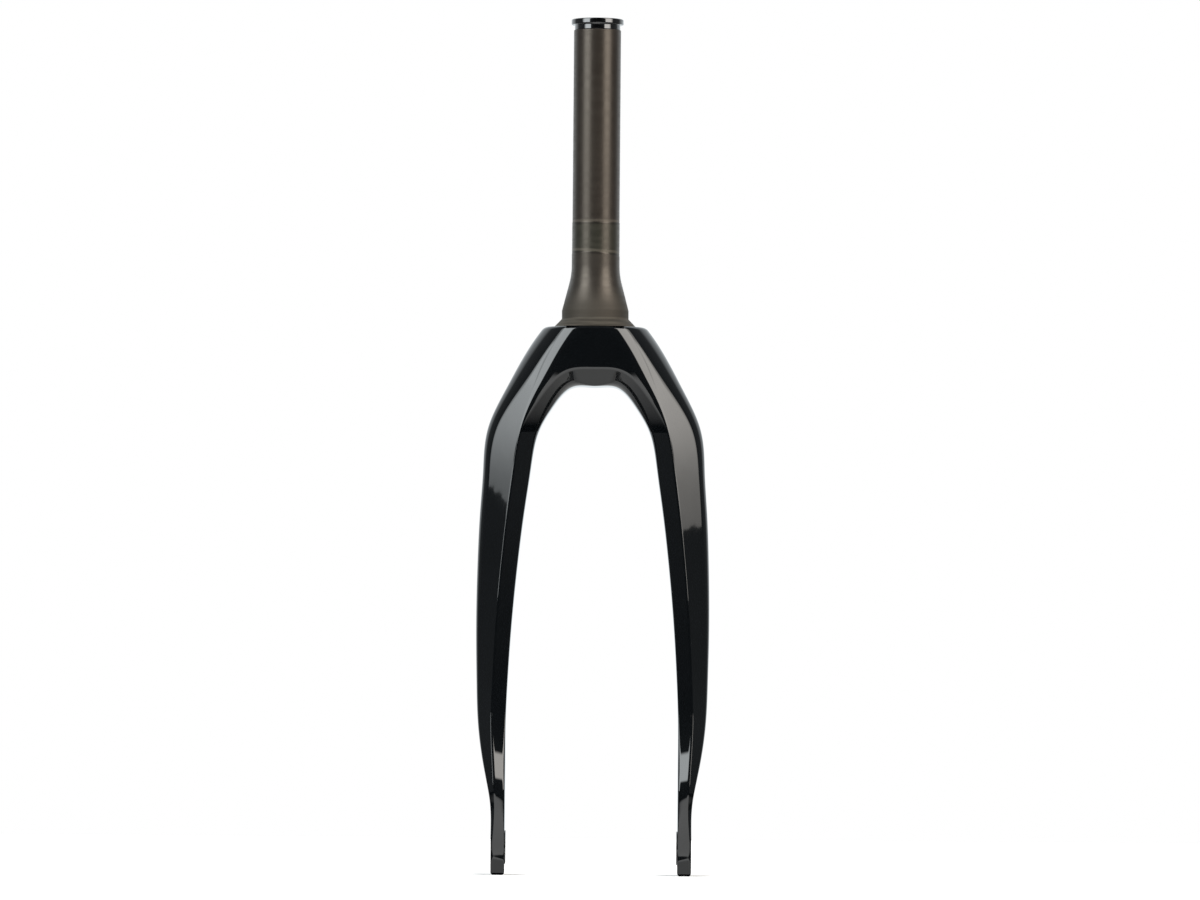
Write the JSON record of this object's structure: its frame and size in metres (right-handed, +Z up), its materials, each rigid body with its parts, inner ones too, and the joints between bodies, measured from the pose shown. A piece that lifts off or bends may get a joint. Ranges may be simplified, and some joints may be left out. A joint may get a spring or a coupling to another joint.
{
  "type": "bicycle fork",
  "caption": "Rigid moulded carbon fork with a tapered steerer, a faceted crown and bladed legs ending in slotted plate dropouts, for a small-wheeled race bike.",
  "frame": {"origin": "on the steerer axis, at the foot of the crown race seat", "axes": "+Z up the steerer, +X from the left leg to the right leg across the fork, and the dropouts offset towards -Y, which is forwards"},
  "size_m": [0.1386, 0.0716, 0.5101],
  "materials": {
    "gloss_black_carbon": "gloss black lacquer over moulded carbon",
    "satin_carbon": "bare satin carbon, as it leaves the mould",
    "black_anodised_aluminium": "gloss black anodised",
    "plain_aluminium": "machined",
    "black_oxide_steel": "black oxide"
  },
  "bodies": {
    "root": {"fork_body": "gloss_black_carbon", "steerer": "satin_carbon", "plug_cap": "black_anodised_aluminium", "plug_sleeve": "plain_aluminium", "plug_wedge": "plain_aluminium", "plug_bolt": "black_oxide_steel"}
  },
  "joints": []
}
